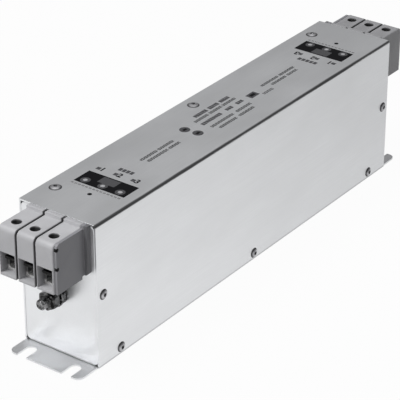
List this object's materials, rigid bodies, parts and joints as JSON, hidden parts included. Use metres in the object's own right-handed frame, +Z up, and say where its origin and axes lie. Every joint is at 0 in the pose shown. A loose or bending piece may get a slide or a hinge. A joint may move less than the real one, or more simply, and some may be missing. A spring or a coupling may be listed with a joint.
{
  "type": "emi line filter",
  "caption": "Slim book-shaped mains filter in a folded sheet-metal case, with clamp terminals and an earth stud at both ends and slotted mounting flanges.",
  "frame": {"origin": "middle of the base plate's underside", "axes": "+Y along the case from the front terminals to the rear ones, +Z up from the mounting plate, +X to the side that carries the cover's rivets"},
  "size_m": [0.0511, 0.33, 0.0859],
  "materials": {
    "case_sheet": "zinc-coated sheet, satin",
    "rivet_metal": "satin",
    "terminal_plastic": "moulded, fine grain",
    "clamp_steel": "zinc plated",
    "screw_steel": "zinc plated",
    "contact_metal": "tinned copper",
    "plate_plastic": "moulded, darker",
    "stud_steel": "zinc plated, threaded",
    "nut_steel": "zinc plated",
    "liner_film": "thin insulating film",
    "board_laminate": "solder-masked laminate",
    "post_plastic": "moulded",
    "core_ferrite": "coated ferrite",
    "winding_wire": "enamelled copper",
    "choke_plastic": "moulded",
    "film_capacitor": "resin-filled box",
    "blue_capacitor": "resin-filled box",
    "resistor_body": "coated",
    "link_copper": "bare copper"
  },
  "bodies": {
    "root": {"base_tray": "case_sheet", "cover": "case_sheet", "front_end_wall": "case_sheet", "rear_end_wall": "case_sheet", "lid_rivets": "rivet_metal", "side_rivets": "rivet_metal", "front_terminal_1": "terminal_plastic", "front_clamp_1": "clamp_steel", "front_contact_bar_1": "contact_metal", "front_capacitor_1": "film_capacitor", "front_terminal_2": "terminal_plastic", "front_clamp_2": "clamp_steel", "front_contact_bar_2": "contact_metal", "front_capacitor_2": "film_capacitor", "front_terminal_3": "terminal_plastic", "front_clamp_3": "clamp_steel", "front_contact_bar_3": "contact_metal", "front_capacitor_3": "film_capacitor", "front_clamp_screws": "screw_steel", "front_end_plate": "plate_plastic", "front_earth_stud": "stud_steel", "front_toothed_washers": "nut_steel", "front_fixing_nut": "nut_steel", "front_plain_washer": "nut_steel", "front_earth_nut": "nut_steel", "front_links": "link_copper", "rear_terminal_1": "terminal_plastic", "rear_clamp_1": "clamp_steel", "rear_contact_bar_1": "contact_metal", "rear_capacitor_1": "film_capacitor", "rear_terminal_2": "terminal_plastic", "rear_clamp_2": "clamp_steel", "rear_contact_bar_2": "contact_metal", "rear_capacitor_2": "film_capacitor", "rear_terminal_3": "terminal_plastic", "rear_clamp_3": "clamp_steel", "rear_contact_bar_3": "contact_metal", "rear_capacitor_3": "film_capacitor", "rear_clamp_screws": "screw_steel", "rear_end_plate": "plate_plastic", "rear_earth_stud": "stud_steel", "rear_toothed_washers": "nut_steel", "rear_fixing_nut": "nut_steel", "rear_plain_washer": "nut_steel", "rear_earth_nut": "nut_steel", "rear_links": "link_copper", "insulating_liner": "liner_film", "circuit_board": "board_laminate", "board_posts": "post_plastic", "choke_core": "core_ferrite", "choke_winding_1": "winding_wire", "choke_winding_2": "winding_wire", "choke_winding_3": "winding_wire", "phase_separator": "choke_plastic", "choke_cradle": "choke_plastic", "earth_capacitor": "blue_capacitor", "bleed_resistors": "resistor_body", "earth_strap": "link_copper"}
  },
  "joints": []
}
